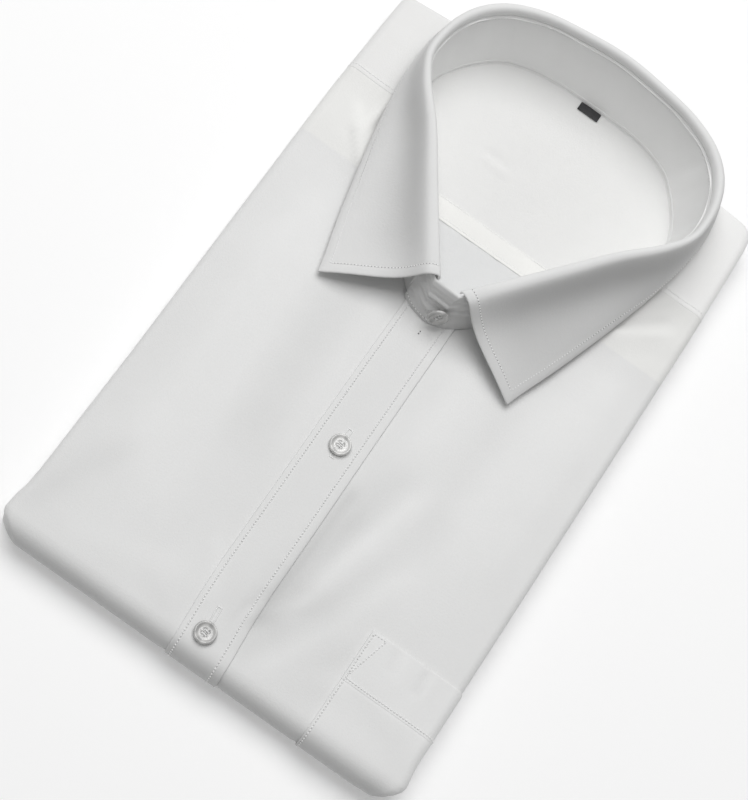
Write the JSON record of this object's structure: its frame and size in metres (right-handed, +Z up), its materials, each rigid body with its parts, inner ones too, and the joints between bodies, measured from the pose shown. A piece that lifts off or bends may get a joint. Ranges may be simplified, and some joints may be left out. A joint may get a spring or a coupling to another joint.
{
  "type": "folded dress shirt",
  "caption": "Dress shirt folded flat with its front up, a buttoned placket, a chest pocket and a spread collar that stands open.",
  "frame": {"origin": "centre of the footprint, on the surface that the shirt lies on", "axes": "+X towards the wearer's left side, which has the pocket; +Y from the bottom fold to the collar; +Z up from the surface"},
  "size_m": [0.2376, 0.4076, 0.0645],
  "materials": {
    "cotton_poplin": "matt white poplin",
    "inner_cotton": "matt white poplin, inner side",
    "label_satin": "black woven satin",
    "pearl": "glossy pearl white"
  },
  "bodies": {
    "root": {"front_left": "cotton_poplin", "front_right": "cotton_poplin", "placket": "cotton_poplin", "pocket_band": "cotton_poplin", "pocket": "cotton_poplin", "yoke": "cotton_poplin", "collar_stand": "cotton_poplin", "collar_fall": "cotton_poplin", "yoke_lining": "inner_cotton", "back": "inner_cotton", "folded_layers": "inner_cotton", "label": "label_satin", "button_2": "pearl", "button_3": "pearl", "button_collar": "pearl"}
  },
  "joints": []
}
